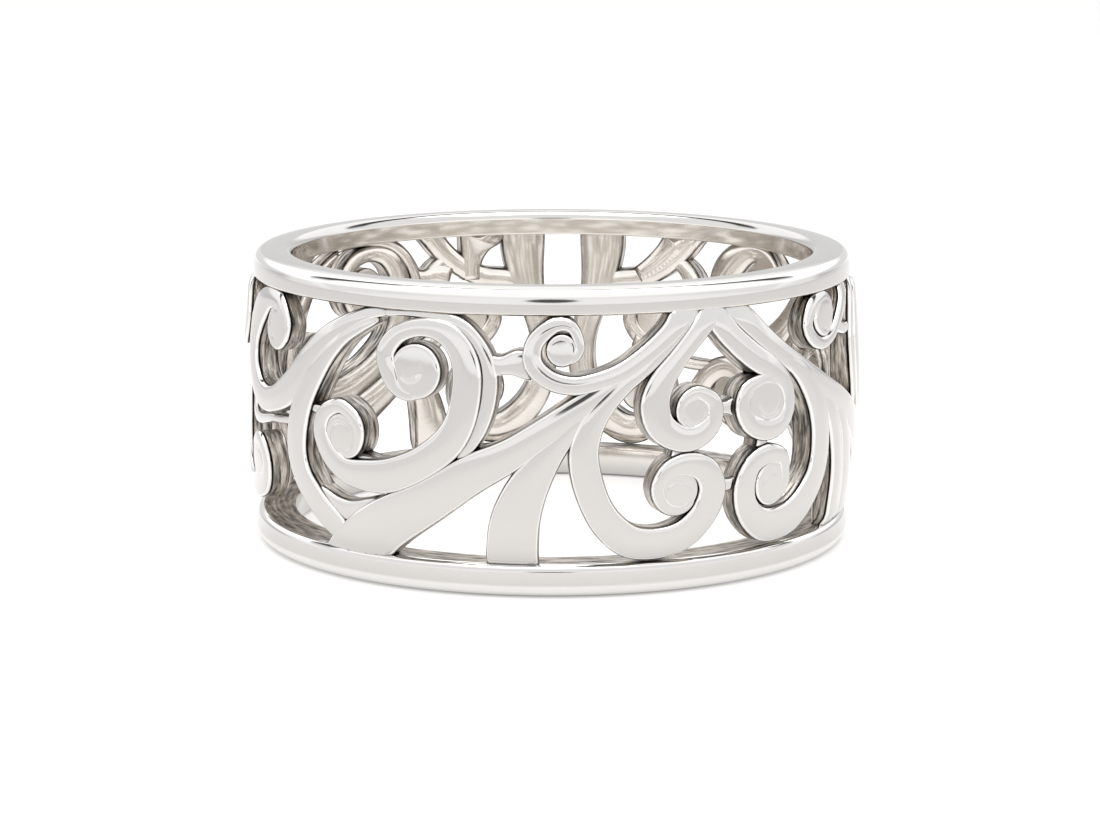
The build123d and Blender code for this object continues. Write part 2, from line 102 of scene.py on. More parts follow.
def add_ramp(material, entry, tones):
    """Adds a colour ramp with a stop for each place and its grey or colour."""
    ramp = add_node(material, "ShaderNodeValToRGB", [(entry, "Fac")])
    stops = ramp.color_ramp.elements
    stops.remove(stops[0])
    for index, (place, tone) in enumerate(tones.items()):
        stop = stops[0] if index == 0 else stops.new(place)
        stop.position = place
        stop.color = tone if isinstance(tone, list) else [tone] * 3 + [1]
    return ramp


def silver():
    material = bpy.data.materials.new("polished_cast_silver")
    material.use_nodes = True
    material.node_tree.nodes.clear()
    place = add_node(material, "ShaderNodeTexCoord")
    finish_and_painted_light = add_node(material, "ShaderNodeAttribute", attribute_name="finish_and_painted_light")
    depth = add_node(material, "ShaderNodeAttribute", attribute_name="wall_depth")
    colour = add_ramp(material, finish_and_painted_light.outputs["Fac"],
                      {value: linear(code) for value, code in FINISH_AND_PAINTED_LIGHT_COLOURS.items()})
    gloss = add_ramp(material, finish_and_painted_light.outputs["Fac"], FINISH_ROUGHNESS)
    streaked = add_ramp(material, finish_and_painted_light.outputs["Fac"], FINISH_STREAKS)
    waves = add_node(material, "ShaderNodeTexNoise", [(place.outputs["Object"], "Vector")],
                     Scale=1 / BUFF_WAVE, Detail=1.0, Roughness=0.4)
    wave_strength = add_node(material, "ShaderNodeMapRange", [(finish_and_painted_light.outputs["Fac"], "Value")],
                             From_Min=FACE, From_Max=FINGER_SIDE, To_Min=BUFF_STRENGTH, To_Max=0.0)
    wave_bump = add_node(material, "ShaderNodeBump",
                         [(waves.outputs["Fac"], "Height"),
                          (wave_strength.outputs["Result"], "Strength")], Distance=BUFF_HEIGHT)
    # The noise's Scale also multiplies its W, so the depth is given as a share of it.
    across = add_node(material, "ShaderNodeMath", [(depth.outputs["Fac"], 0)],
                      second=STREAKS_ACROSS / STREAKS_ALONG * MM, operation="MULTIPLY")
    streaks = add_node(material, "ShaderNodeTexNoise",
                       [(place.outputs["Object"], "Vector"), (across.outputs[0], "W")],
                       noise_dimensions="4D", Scale=STREAKS_ALONG / MM, Detail=3.0, Roughness=0.6)
    stain = add_node(material, "ShaderNodeMapRange", [(streaks.outputs["Fac"], "Value")],
                     From_Min=STREAK_RANGE[0], From_Max=STREAK_RANGE[1],
                     To_Min=STREAK_TONES[0], To_Max=STREAK_TONES[1])
    # A colour mix takes its share at input 0 and its colours at 6 and 7, and gives output 2.
    shade = add_node(material, "ShaderNodeMix",
                     [(streaked.outputs["Color"], 0), (colour.outputs["Color"], 6),
                      (stain.outputs["Result"], 7)], data_type="RGBA", blend_type="MULTIPLY")
    streak_bump = add_node(material, "ShaderNodeBump",
                           [(streaks.outputs["Fac"], "Height"),
                            (streaked.outputs["Color"], "Strength"),
                            (wave_bump.outputs["Normal"], "Normal")], Distance=STREAK_HEIGHT)
    # Painted shade: ambient occlusion darkens the colour in corners and grooves.
    corners = add_node(material, "ShaderNodeAmbientOcclusion", Distance=CREVICE,
                       samples=CREVICE_SAMPLES)
    crevice_shade = add_node(material, "ShaderNodeMapRange", [(corners.outputs["AO"], "Value")],
                     From_Min=CREVICE_OPEN[0], From_Max=CREVICE_OPEN[1],
                     To_Min=CREVICE_TONES[0], To_Max=CREVICE_TONES[1])
    toned = add_node(material, "ShaderNodeVectorMath",
                     [(shade.outputs[2], 0), (crevice_shade.outputs["Result"], 1)], operation="MULTIPLY")
    metal = add_node(material, "ShaderNodeBsdfPrincipled",
                     [(toned.outputs["Vector"], "Base Color"), (gloss.outputs["Color"], "Roughness"),
                      (streak_bump.outputs["Normal"], "Normal")], Metallic=1.0)
    add_node(material, "ShaderNodeOutputMaterial", [(metal.outputs["BSDF"], "Surface")])
    return material


silver_metal = silver()


# The rails: two plain hoops of the same casting, at the finger's end and at the hand's end
# of the ring. Each is turned from one section: eased edges to the finger hole, a nearly flat
# rim, a crisp outer edge above and a softer one below, where the ring rests on the table.
UPPER_RAIL = 0.85 * MM     # height of the upper rail
LOWER_RAIL = 1.07 * MM     # and of the lower one
RAIL_WALL = 1.305 * MM     # from the finger hole to the outer face of both
FINGER_EDGE = 0.29 * MM    # rounding of both at the finger hole
RIM_CROWN = 2.9 * MM       # radius of the upper rim's gentle fall to its outer edge,
RIM_FALL = 10              # by so many degrees
RIM_EDGE = 0.28 * MM       # rounding of that edge
FACE_CROWN = 1.35 * MM     # radius of the upper rail's face, which meets the edge
FACE_LEAN = 15             # leaning back by so many degrees
LIP_ROUND = 0.26 * MM      # rounding of the lower rail's upper edge,
LIP_BRIGHT = 55            # with a painted highlight over so many degrees
FOOT_ROUND = 0.45 * MM     # rounding of its lower edge
CUT_ROUND = 0.08 * MM      # edges where the openwork begins,
CUT_STEPS = 3              # in so many steps
RAIL_TURNS = 360           # sections round a rail


def bend(section, radius, start, end, finish_and_painted_light, steps=8):
    """Runs a section on round a bend, on which its normal turns from start to end: 0 is up, 90
    outwards, 180 down and 270 towards the axis."""
    r, z, _ = section[-1]
    for step in range(1, steps + 1):
        tilt = math.radians(start + (end - start) * step / steps)
        section.append((r + radius * (math.sin(tilt) - math.sin(math.radians(start))),
                        z - radius * (math.cos(math.radians(start)) - math.cos(tilt)), finish_and_painted_light))


def turned_rail(bm, section):
    """Spins a closed section, of distance from the axis, height and finish with its painted light, about
    the axis.
    """
    finish_and_light_layer = bm.verts.layers.float["finish_and_painted_light"]
    verts = []
    for r, z, finish_and_painted_light in section:
        vert = bm.verts.new((0, -r, z))
        vert[finish_and_light_layer] = finish_and_painted_light
        verts.append(vert)
    edges = [bm.edges.new((a, b)) for a, b in zip(verts, verts[1:] + verts[:1])]
    bmesh.ops.spin(bm, geom=verts + edges, cent=(0, 0, 0), axis=(0, 0, 1),
                   angle=2 * math.pi, steps=RAIL_TURNS, use_merge=True, use_duplicate=False)


def finished_piece(name, bm, material):
    """Turns a bmesh into the object of a piece, smooth, with its faces outwards."""
    bmesh.ops.recalc_face_normals(bm, faces=bm.faces)
    for face in bm.faces:
        face.smooth = True
    mesh = bpy.data.meshes.new(name)
    bm.to_mesh(mesh)
    bm.free()
    mesh.materials.append(material)
    piece = bpy.data.objects.new(name, mesh)
    bpy.context.scene.collection.objects.link(piece)
    weighted = piece.modifiers.new("even_shading", "WEIGHTED_NORMAL")
    weighted.keep_sharp = True
    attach(piece, "root")
    return piece


rail_radius = bore_radius + RAIL_WALL
upper_bottom = ring_height - UPPER_RAIL
rails_mesh = bmesh.new()
rails_mesh.verts.layers.float.new("finish_and_painted_light")
depth_layer = rails_mesh.verts.layers.float.new("wall_depth")

# The roundings that take the EDGE colour, at the rim's edge, the lip and the foot, carry a painted
# highlight.
upper = [(bore_radius, ring_height - FINGER_EDGE, FINGER_SIDE)]
bend(upper, FINGER_EDGE, -90, 0, FACE)
fall, lean = math.radians(RIM_FALL), math.radians(90 - FACE_LEAN)
rim_width = (RIM_CROWN * math.sin(fall) + RIM_EDGE * (math.sin(lean) - math.sin(fall))
             + FACE_CROWN * (1 - math.sin(lean)))
upper.append((rail_radius - rim_width, ring_height, FACE))
bend(upper, RIM_CROWN, 0, RIM_FALL, FACE)
bend(upper, RIM_EDGE, RIM_FALL, 90 - FACE_LEAN, EDGE)
bend(upper, FACE_CROWN, 90 - FACE_LEAN, 90, FACE)
upper.append((rail_radius, upper_bottom + CUT_ROUND, FACE))
bend(upper, CUT_ROUND, 90, 180, WALL, CUT_STEPS)
upper.append((bore_radius + CUT_ROUND, upper_bottom, WALL))
bend(upper, CUT_ROUND, 180, 270, FINGER_SIDE, CUT_STEPS)

lower = [(bore_radius, LOWER_RAIL - CUT_ROUND, FINGER_SIDE)]
bend(lower, CUT_ROUND, -90, 0, WALL, CUT_STEPS)
lower.append((rail_radius - LIP_ROUND, LOWER_RAIL, WALL))
bend(lower, LIP_ROUND, 0, LIP_BRIGHT, EDGE)
bend(lower, LIP_ROUND, LIP_BRIGHT, 90, FACE)
lower.append((rail_radius, LOWER_RAIL - LIP_ROUND - CUT_ROUND, FACE))
lower.append((rail_radius, FOOT_ROUND, FACE))
bend(lower, FOOT_ROUND, 90, 180, EDGE)
lower.append((bore_radius + FINGER_EDGE, 0, FACE))
bend(lower, FINGER_EDGE, 180, 270, FACE)
for section in (upper, lower):
    turned_rail(rails_mesh, section)
for vert in rails_mesh.verts:
    vert[depth_layer] = (rail_radius - math.hypot(vert.co.x, vert.co.y)) / MM
finished_piece("rails", rails_mesh, silver_metal)


# The scrollwork: strands of the casting that fill the band between the rails. Each is a bar
# with a slightly crowned, buffed face, rounded shoulders and plain walls down to the side
# towards the finger, swept along its line. Where two strands merge, their crowns leave a groove.

# Stations along each strand: turn in degrees from the front, height in mm, width in mm. Where
# they go on past a rail's edge, the strand is cut off inside the rail.
STRANDS = {
    "hung_curl": [
        (4.9, 8.05, 0.33), (3.6, 8.58, 0.40), (0.6, 8.66, 0.50), (-2.9, 8.12, 0.58),
        (-3.2, 7.45, 0.62), (-0.3, 6.95, 0.62), (4.0, 6.78, 0.60), (9.0, 6.95, 0.60),
        (12.7, 7.20, 0.62), (16.2, 7.60, 0.62), (19.2, 8.00, 0.64), (21.8, 8.40, 0.70),
        (24.5, 8.98, 0.85), (27.0, 9.50, 0.90)],
    "trunk": [
        (-52.5, -0.80, 1.84), (-47.0, -0.05, 1.84), (-41.3, 0.69, 1.84), (-35.6, 1.52, 1.84),
        (-30.1, 2.21, 1.68), (-22.8, 2.95, 1.45), (-14.7, 3.88, 1.28), (-7.3, 4.60, 1.05),
        (-1.9, 5.25, 0.92), (3.7, 5.93, 0.85), (8.9, 6.50, 0.85), (14.1, 7.10, 0.85),
        (18.6, 7.75, 0.80), (22.4, 8.40, 0.80), (25.2, 9.00, 0.90), (27.8, 9.60, 0.95)],
    "front_foot": [
        (-7.2, 0.90, 1.75), (-7.1, 1.60, 1.70), (-6.6, 2.40, 1.62), (-5.0, 3.25, 1.42),
        (-2.6, 4.05, 1.15), (0.4, 4.80, 0.85), (3.6, 5.45, 0.65), (7.0, 6.05, 0.50),
        (10.5, 6.60, 0.40)],
    "heart_low_left": [
        (20.5, 8.00, 0.40), (16.4, 7.25, 0.50), (12.6, 6.75, 0.60), (9.0, 6.10, 0.72),
        (6.6, 5.40, 0.85), (5.6, 4.65, 0.95), (6.1, 3.85, 1.00), (7.8, 2.97, 1.00),
        (10.3, 2.30, 1.05), (14.1, 1.78, 1.08), (19.2, 1.66, 1.06), (24.3, 1.90, 1.02),
        (28.2, 2.55, 1.00), (29.6, 3.30, 1.00), (27.9, 3.92, 0.90), (24.3, 4.16, 0.76),
        (20.8, 4.00, 0.62), (18.9, 3.55, 0.50)],
    "heart_low_right": [
        (44.0, 7.55, 0.50), (47.6, 7.05, 0.60), (51.0, 6.60, 0.75), (54.3, 5.95, 0.90),
        (56.7, 5.20, 1.00), (57.9, 4.36, 1.10), (57.7, 3.55, 1.12), (56.2, 2.90, 1.12),
        (53.0, 2.30, 1.15), (49.4, 1.90, 1.18), (45.6, 1.76, 1.18), (42.2, 1.82, 1.10),
        (39.4, 2.08, 0.98), (37.2, 2.55, 0.90), (36.6, 3.20, 0.85), (38.2, 3.85, 0.72),
        (41.7, 4.13, 0.70), (45.6, 3.95, 0.58), (46.5, 3.35, 0.50)],
    "heart_top_left": [
        (33.0, 9.50, 0.85), (30.5, 9.00, 0.80), (28.0, 8.50, 0.72), (25.2, 7.98, 0.66),
        (22.3, 7.42, 0.68), (19.6, 6.80, 0.85), (18.2, 6.10, 1.00), (19.3, 5.40, 0.98),
        (22.7, 5.00, 0.88), (26.5, 5.02, 0.80), (29.3, 5.45, 0.70), (29.4, 6.05, 0.60),
        (26.4, 6.40, 0.45), (23.9, 6.25, 0.35)],
    "heart_top_right": [
        (28.2, 9.55, 0.90), (30.0, 9.00, 0.90), (31.8, 8.45, 0.88), (34.2, 7.95, 0.86),
        (38.3, 7.35, 0.88), (42.6, 6.87, 0.82), (46.1, 6.33, 0.66), (47.0, 5.65, 0.62),
        (45.3, 5.10, 0.68), (41.6, 4.93, 0.74), (37.7, 5.17, 0.70), (35.7, 5.75, 0.60),
        (36.6, 6.30, 0.50), (39.4, 6.52, 0.40)],
    "right_trunk": [
        (32.2, 9.45, 0.95), (35.0, 8.95, 0.90), (38.0, 8.42, 0.82), (41.6, 7.86, 0.76),
        (46.4, 7.22, 0.76), (51.0, 6.72, 0.78), (56.0, 6.20, 0.80), (61.0, 5.72, 0.85),
        (66.5, 5.25, 0.95), (72.8, 4.68, 1.05), (80.7, 3.88, 1.28), (88.8, 2.95, 1.45),
        (96.1, 2.21, 1.68), (101.6, 1.52, 1.84), (107.3, 0.69, 1.84), (113.0, -0.05, 1.84),
        (118.5, -0.80, 1.84)],
    "right_foot": [
        (57.0, 5.90, 0.45), (60.5, 5.35, 0.60), (63.8, 4.50, 0.78), (65.9, 3.60, 0.90),
        (66.9, 2.80, 0.98), (67.1, 2.00, 1.05), (67.1, 0.90, 1.10)],
    "far_right_foot": [
        (63.0, 5.50, 0.40), (67.5, 4.70, 0.70), (71.0, 3.80, 1.00), (73.2, 2.80, 1.25),
        (74.1, 1.90, 1.40), (74.3, 0.90, 1.45)],
    "right_hung_curl": [
        (61.8, 8.78, 0.36), (58.5, 8.70, 0.44), (55.6, 8.45, 0.50), (54.1, 7.95, 0.55),
        (55.7, 7.50, 0.52), (59.0, 7.28, 0.42), (62.9, 7.42, 0.42), (66.4, 7.80, 0.46),
        (69.6, 8.25, 0.55), (73.0, 8.95, 0.70), (76.5, 9.50, 0.80)],
    "right_bridge": [
        (79.5, 7.30, 0.60), (76.0, 7.38, 0.42), (72.0, 7.42, 0.42), (67.0, 7.70, 0.50)],
    "scroll": [
        (-29.7, 7.00, 0.68), (-30.6, 7.60, 0.70), (-28.0, 8.20, 0.62), (-23.4, 8.45, 0.60),
        (-19.2, 8.33, 0.75), (-16.2, 7.83, 0.86), (-14.9, 7.10, 0.95), (-15.2, 6.20, 0.98),
        (-16.4, 5.45, 1.00), (-18.8, 4.82, 1.04), (-23.4, 4.20, 1.05), (-29.5, 3.72, 1.12),
        (-34.7, 3.60, 1.05), (-39.6, 3.68, 0.85), (-43.4, 4.13, 0.78), (-45.4, 4.85, 0.70),
        (-44.2, 5.42, 0.60), (-40.6, 5.72, 0.50), (-37.2, 5.42, 0.48)],
    "scroll_edge": [
        (-33.0, 8.85, 0.45), (-27.5, 8.92, 0.42), (-22.0, 8.86, 0.40), (-18.0, 8.72, 0.42),
        (-14.6, 8.36, 0.44), (-12.0, 7.75, 0.48), (-10.9, 7.10, 0.54), (-11.1, 6.30, 0.54),
        (-12.3, 5.50, 0.50), (-14.3, 4.85, 0.42), (-17.0, 4.35, 0.30)],
    "bridge": [
        (-12.2, 7.30, 1.00), (-9.0, 7.36, 0.60), (-6.0, 7.45, 0.85), (-3.0, 7.30, 0.90)],
    "leaf": [
        (-33.0, 8.60, 0.30), (-36.5, 8.28, 0.40), (-40.4, 7.88, 0.52), (-44.3, 7.28, 0.70),
        (-47.5, 6.60, 0.86), (-50.7, 5.72, 0.96), (-52.7, 4.85, 1.04), (-53.3, 3.95, 1.05),
        (-51.9, 3.20, 1.00), (-48.6, 2.55, 0.98), (-45.3, 2.05, 0.95), (-42.6, 1.70, 0.90),
        (-40.5, 1.40, 0.60)],
    "leaf_tie": [
        (-50.0, 2.95, 0.30), (-46.5, 2.75, 0.35), (-43.5, 2.50, 0.52), (-40.0, 2.30, 0.75),
        (-36.5, 2.35, 0.85), (-33.0, 2.60, 0.70)],
    "scroll_web": [
        (-41.0, 4.25, 0.35), (-37.5, 4.12, 0.35), (-34.0, 4.02, 0.30), (-31.5, 4.00, 0.18)],
    "hook": [
        (-31.0, 8.88, 0.40), (-34.5, 8.75, 0.45), (-39.2, 8.38, 0.60), (-44.7, 7.78, 0.80),
        (-49.2, 7.10, 0.88), (-55.2, 5.98, 1.08), (-62.3, 5.38, 0.88), (-68.6, 5.40, 0.95),
        (-73.2, 6.10, 1.00), (-74.4, 7.00, 1.10), (-72.6, 7.80, 1.25), (-69.0, 8.35, 1.10),
        (-65.0, 8.60, 0.74), (-60.6, 8.50, 0.60), (-57.5, 8.00, 0.45)],
    "hook_tie": [
        (-95.5, 5.00, 0.55), (-88.0, 4.45, 0.45), (-80.5, 4.25, 0.40), (-74.0, 4.34, 0.34),
        (-67.0, 4.58, 0.27), (-61.0, 4.70, 0.27), (-55.0, 4.85, 0.30)],
    "low_arm": [
        (-123.0, 9.45, 0.70), (-118.0, 8.95, 0.70), (-113.0, 8.45, 0.75), (-107.5, 7.70, 0.85),
        (-103.0, 6.80, 0.90), (-99.0, 5.80, 0.95), (-96.2, 4.80, 1.00), (-94.2, 3.80, 1.00),
        (-91.2, 2.90, 1.00), (-86.5, 2.25, 0.95), (-80.0, 2.00, 0.90), (-73.5, 2.15, 0.85),
        (-68.0, 2.50, 0.80), (-66.3, 3.15, 0.70), (-68.3, 3.70, 0.60)],
    "low_foot": [
        (-92.5, 3.40, 0.50), (-95.5, 2.40, 0.80), (-97.0, 1.70, 1.10), (-97.5, 0.90, 1.30)],
    "left_post": [
        (168.85, 9.05, 1.75), (168.95, 8.30, 1.68), (169.45, 7.50, 1.45), (170.55, 6.60, 1.15),
        (172.05, 5.80, 1.00), (173.25, 4.90, 0.95), (173.35, 3.90, 1.00), (171.65, 2.90, 1.05),
        (167.95, 2.10, 1.10), (162.95, 1.66, 1.08), (158.15, 1.90, 1.00), (155.25, 2.75, 0.95),
        (155.55, 3.55, 0.85), (158.45, 3.98, 0.70), (161.85, 3.75, 0.55)],
    "left_branch": [
        (169.45, 7.00, 0.70), (164.95, 7.20, 0.72), (159.95, 7.30, 0.75), (154.95, 7.70, 0.75),
        (150.45, 8.35, 0.80), (147.45, 9.00, 0.95), (143.70, 9.60, 1.00)],
    "left_high_curl": [
        (152.45, 8.10, 0.50), (148.65, 7.55, 0.70), (147.05, 6.80, 0.80), (147.85, 6.00, 0.85),
        (150.95, 5.30, 0.85), (155.65, 4.95, 0.80), (160.05, 5.15, 0.72), (162.45, 5.75, 0.62),
        (161.25, 6.35, 0.50)],
    "back_low_curl": [
        (150.8, 1.00, 1.10), (149.0, 2.00, 0.95), (146.5, 3.10, 0.90), (143.0, 3.95, 0.85),
        (138.5, 4.30, 0.80), (134.0, 4.00, 0.72), (132.2, 3.20, 0.65), (134.0, 2.50, 0.55)],
    "back_trunk": [
        (259.0, -0.60, 1.75), (253.0, 0.00, 1.75), (247.5, 0.50, 1.75), (242.0, 1.00, 1.70),
        (236.6, 1.68, 1.60), (230.3, 2.36, 1.46), (222.8, 3.05, 1.25), (215.8, 3.85, 1.05),
        (209.8, 4.65, 0.85), (204.5, 5.30, 0.60)],
    "back_tie": [
        (197.8, 7.20, 0.75), (197.8, 7.90, 0.85), (197.0, 8.50, 1.30), (196.0, 8.95, 2.00),
        (195.5, 9.40, 2.20)],
    "back_fill": [
        (160.5, 7.35, 0.70), (157.0, 7.75, 0.85), (153.6, 8.30, 1.00), (151.0, 8.85, 1.30),
        (149.5, 9.40, 1.40)],
    "heart_join": [
        (23.4, 5.25, 1.00), (23.2, 4.85, 0.64), (23.1, 4.60, 0.50), (23.0, 4.35, 0.60),
        (22.9, 3.95, 1.00)],
    "right_heart_join": [
        (41.4, 5.25, 0.95), (41.2, 4.85, 0.58), (41.1, 4.58, 0.44), (41.1, 4.30, 0.56),
        (41.4, 3.85, 0.95)],
    "high_join": [
        (29.3, 5.82, 0.85), (31.0, 5.80, 0.56), (32.4, 5.78, 0.44), (33.8, 5.78, 0.56),
        (35.6, 5.76, 0.85)],
    "low_join": [
        (30.0, 3.36, 0.85), (31.6, 3.32, 0.56), (33.3, 3.30, 0.44), (35.0, 3.28, 0.56),
        (36.8, 3.26, 0.85)],
    "leaf_join": [
        (-50.8, 5.48, 0.60), (-48.8, 5.46, 0.40), (-47.5, 5.44, 0.32), (-46.3, 5.40, 0.42),
        (-44.6, 5.34, 0.60)],
    "back_foot": [
        (207.4, 0.90, 1.50), (207.4, 1.60, 1.45), (207.9, 2.40, 1.30), (209.2, 3.20, 1.05),
        (211.8, 4.05, 0.80)],
}
# How far a strand's face stands above the band's own bulge, in mm, where it isn't level with it.
LIFTS = {
    "scroll": 0.05, "scroll_edge": -0.05, "scroll_web": -0.22, "bridge": -0.04,
    "leaf_tie": -0.12, "leaf_join": -0.12, "hook_tie": -0.30, "hung_curl": 0.05,
    "heart_low_left": 0.03, "heart_top_left": 0.05, "heart_low_right": 0.03,
    "heart_top_right": 0.04, "heart_join": -0.10, "right_heart_join": -0.10,
    "high_join": -0.14, "low_join": -0.14, "front_foot": -0.03, "right_bridge": -0.12,
}
# Groups that the band repeats, each mirrored in the turn given.
MIRRORED_GROUPS = [
    (("scroll", "scroll_web", "scroll_edge", "leaf", "leaf_tie", "leaf_join", "hook", "hook_tie"), 33.0),
    (("scroll", "scroll_web", "scroll_edge", "bridge", "leaf", "leaf_tie", "leaf_join"), -80.0),
    (("hung_curl", "bridge"), -42.1),
    (("left_post", "left_branch", "left_high_curl"), 177.60),
]
# The curls' round ends. Each has the strand that winds in on it, whether by that strand's first
# or last station, and over how many degrees; the turn, height, width and lift of its drop; and
# the spiral line on it: where the line's own middle lies from the drop's, its radius at the
# start and at the end, and its start angle and sweep in degrees.
CURL_ENDS = {
    "hung_curl": ("hung_curl", 0, -85, 1.8, 7.86, 1.04, 0.05, 0.0, 0.03, 0.40, 0.33, 150, -170),
    "scroll_upper": ("scroll", 0, 100, -24.6, 7.06, 1.78, 0.05, -0.10, 0.10, 0.42, 0.30, 200, 200),
    "scroll_lower": ("scroll", -1, -150, -40.2, 4.78, 1.46, 0.05, 0.05, -0.03, 0.60, 0.42, -70, -250),
    "heart_low_left": (
        "heart_low_left", -1, 180, 22.9, 3.32, 1.36, 0.03, -0.06, -0.15, 0.52, 0.46, -40, 220),
    "heart_top_left": (
        "heart_top_left", -1, 95, 26.0, 5.72, 1.26, 0.05, -0.02, 0.0, 0.40, 0.28, 165, 215),
    "heart_top_right": (
        "heart_top_right", -1, -100, 41.4, 5.82, 1.72, 0.04, 0.10, 0.0, 0.50, 0.42, 175, 205),
    "heart_low_right": (
        "heart_low_right", -1, -80, 43.3, 3.16, 1.50, 0.03, -0.05, -0.10, 0.56, 0.40, -70, -250),
    "right_hung": ("right_hung_curl", 0, -110, 60.2, 8.12, 1.34, 0.04, 0.0, 0.0, 0.50, 0.34, 10, -200),
    "hook": ("hook", -1, -80, -60.8, 7.78, 1.56, 0.04, 0.0, 0.0, 0.62, 0.36, 60, 230),
    "low": ("low_arm", -1, 120, -70.8, 3.00, 1.70, 0.02, 0.0, 0.0, 0.66, 0.40, -90, 230),
    "back_low": ("back_low_curl", -1, 120, 137.6, 3.25, 1.60, 0.02, 0.0, 0.0, 0.60, 0.36, 0, 230),
    "left_post": ("left_post", -1, -120, 159.25, 2.98, 1.42, 0.02, 0.0, 0.0, 0.50, 0.30, 60, -230),
    "left_high": ("left_high_curl", -1, 120, 156.85, 5.85, 1.46, 0.02, 0.0, 0.0, 0.52, 0.32, 60, 230),
}
# The round ends that the mirrored groups bring with them.
MIRRORED_ENDS = [
    (("scroll_upper", "scroll_lower", "hook"), 33.0),
    (("scroll_upper", "scroll_lower"), -80.0),
    (("hung_curl",), -42.1),
    (("left_post", "left_high"), 177.60),
]
WIND_STEP = 30                 # degrees between the stations of a winding
WIND_WIDTH = 0.30              # a strand's width in mm where its winding ends,
WIND_INSET = 0.02              # so many mm inside the rim of its drop
BAND_BULGE = 0.26 * MM         # the band's middle stands this far outside its edges
DIP_REACH = 0.42 * MM          # the faces sink to the rails over this height,
LOWER_DIP = 0.15 * MM          # by so much at the lower one
UPPER_DIP = 0.10 * MM          # and at the upper one
BAND_WALL = 0.86 * MM          # the openwork's thickness at its bulge,
BACK_STEP = 0.006              # less by so many mm from each strand to the next, so that strands
BACK_STEPS = 5                 # that cross share no surface there, over so many strands
TIP_REACH = 0.4                # a strand's ends sink into what they join over this many mm,
TIP_SINK = 0.07                # by so many mm
LOWER_TUCK = 0.25 * MM         # a strand runs this far into the lower rail
UPPER_TUCK = 0.10 * MM         # and into the upper one
STRAND_STEP = 0.18 * MM        # spacing of the sections along a strand,
LEAST_STEPS = 3                # but at least so many from station to station
FACE_ROWS = (-1, -0.67, -0.33, 0, 0.33, 0.67, 1)    # rows of a face, as shares of its flat half
CROWN = 0.07 * MM              # height of a face's crown,
CROWN_REACH = 1.5              # which rises from a strand's end over so many mm
SHOULDER = 0.15 * MM           # rounding at the edges of a face,
SHOULDER_MOST = 0.33           # at most this share of the strand's width
SHOULDER_LEANS = (20, 40, 60, 75, 90)   # its sections, by how far they lean, in degrees
EDGE_START = 30                # a painted highlight brightens the rounding from where it leans by so many degrees,
SHADE_LINE_START = 62                # and a painted dark line, for shade, darkens it from so many degrees on
FINGER_SIDE_ROUND = 0.09 * MM  # bevel between a wall and the side towards the finger
SHADE_LINE_WIDTH = 0.025 * MM        # painted dark line, for shade, where a wall meets the face or that bevel,
SHADE_LINE_REACH = 1.6 * SHADE_LINE_WIDTH  # faded out so far from its start
band_middle = (LOWER_RAIL + upper_bottom) / 2
half_band = (upper_bottom - LOWER_RAIL) / 2
mm_per_degree = math.radians(1) * crest_radius / MM


def band_radius(height):
    """Distance from the axis to the strands' faces, at a height in metres."""
    bulge = BAND_BULGE * ((height - band_middle) / half_band) ** 2
    over_lower = min(1.0, max(0.0, 1 - (height - LOWER_RAIL) / DIP_REACH))
    under_upper = min(1.0, max(0.0, 1 - (upper_bottom - height) / DIP_REACH))
    return crest_radius - bulge - LOWER_DIP * over_lower ** 2 - UPPER_DIP * under_upper ** 2


def wrapped(along, height, radius):
    """A point laid round the ring: along is in mm on the chart, height and radius in metres."""
    turn = math.radians(along / mm_per_degree)
    return Vector((radius * math.sin(turn), -radius * math.cos(turn), height))


def smooth_line(stations):
    """Even points along a strand's smooth line: along, height and width in mm, and direction."""
    rows = [Vector((turn * mm_per_degree, up, wide)) for turn, up, wide in stations]
    rows = [2 * rows[0] - rows[1]] + rows + [2 * rows[-1] - rows[-2]]
    points = []
    for before, start, end, after in zip(rows, rows[1:], rows[2:], rows[3:]):
        length = (end.xy - start.xy).length * MM
        steps = max(LEAST_STEPS, round(length / STRAND_STEP))
        for step in range(steps):
            t = step / steps
            points.append(0.5 * (2 * start + (end - before) * t
                                 + (2 * before - 5 * start + 4 * end - after) * t * t
                                 + (3 * start - before - 3 * end + after) * t ** 3))
    points.append(rows[-2])
    line = []
    for index, point in enumerate(points):
        ahead = points[min(index + 1, len(points) - 1)]
        behind = points[max(index - 1, 0)]
        line.append((point, (ahead.xy - behind.xy).normalized()))
    return line


def wall_section(half, edge_radius, back_radius, shoulder):
    """One side of a section, from the face's edge to the finger's side: distance across in mm,
    distance from the axis, finish with its painted highlight and dark lines, and depth in mm below the
    edge."""
    points = []
    for lean in SHOULDER_LEANS:
        across = half - shoulder + shoulder * math.sin(math.radians(lean))
        down = shoulder * MM * (1 - math.cos(math.radians(lean)))
        finish_and_painted_light = FACE if lean < EDGE_START else EDGE if lean < SHADE_LINE_START else SHADE_LINE
        points.append((across, edge_radius - down, finish_and_painted_light))
    top = points[-1][1]
    bottom = back_radius + FINGER_SIDE_ROUND
    # A painted dark line, for shade, runs along the top and the foot of the wall.
    points += [(half, top - SHADE_LINE_WIDTH, SHADE_LINE), (half, top - SHADE_LINE_REACH, WALL),
               (half, bottom + SHADE_LINE_REACH, WALL), (half, bottom, SHADE_LINE),
               (half - FINGER_SIDE_ROUND / MM, back_radius, FINGER_SIDE)]
    return [(across, radius, finish_and_painted_light, (edge_radius - radius) / MM) for across, radius, finish_and_painted_light in points]


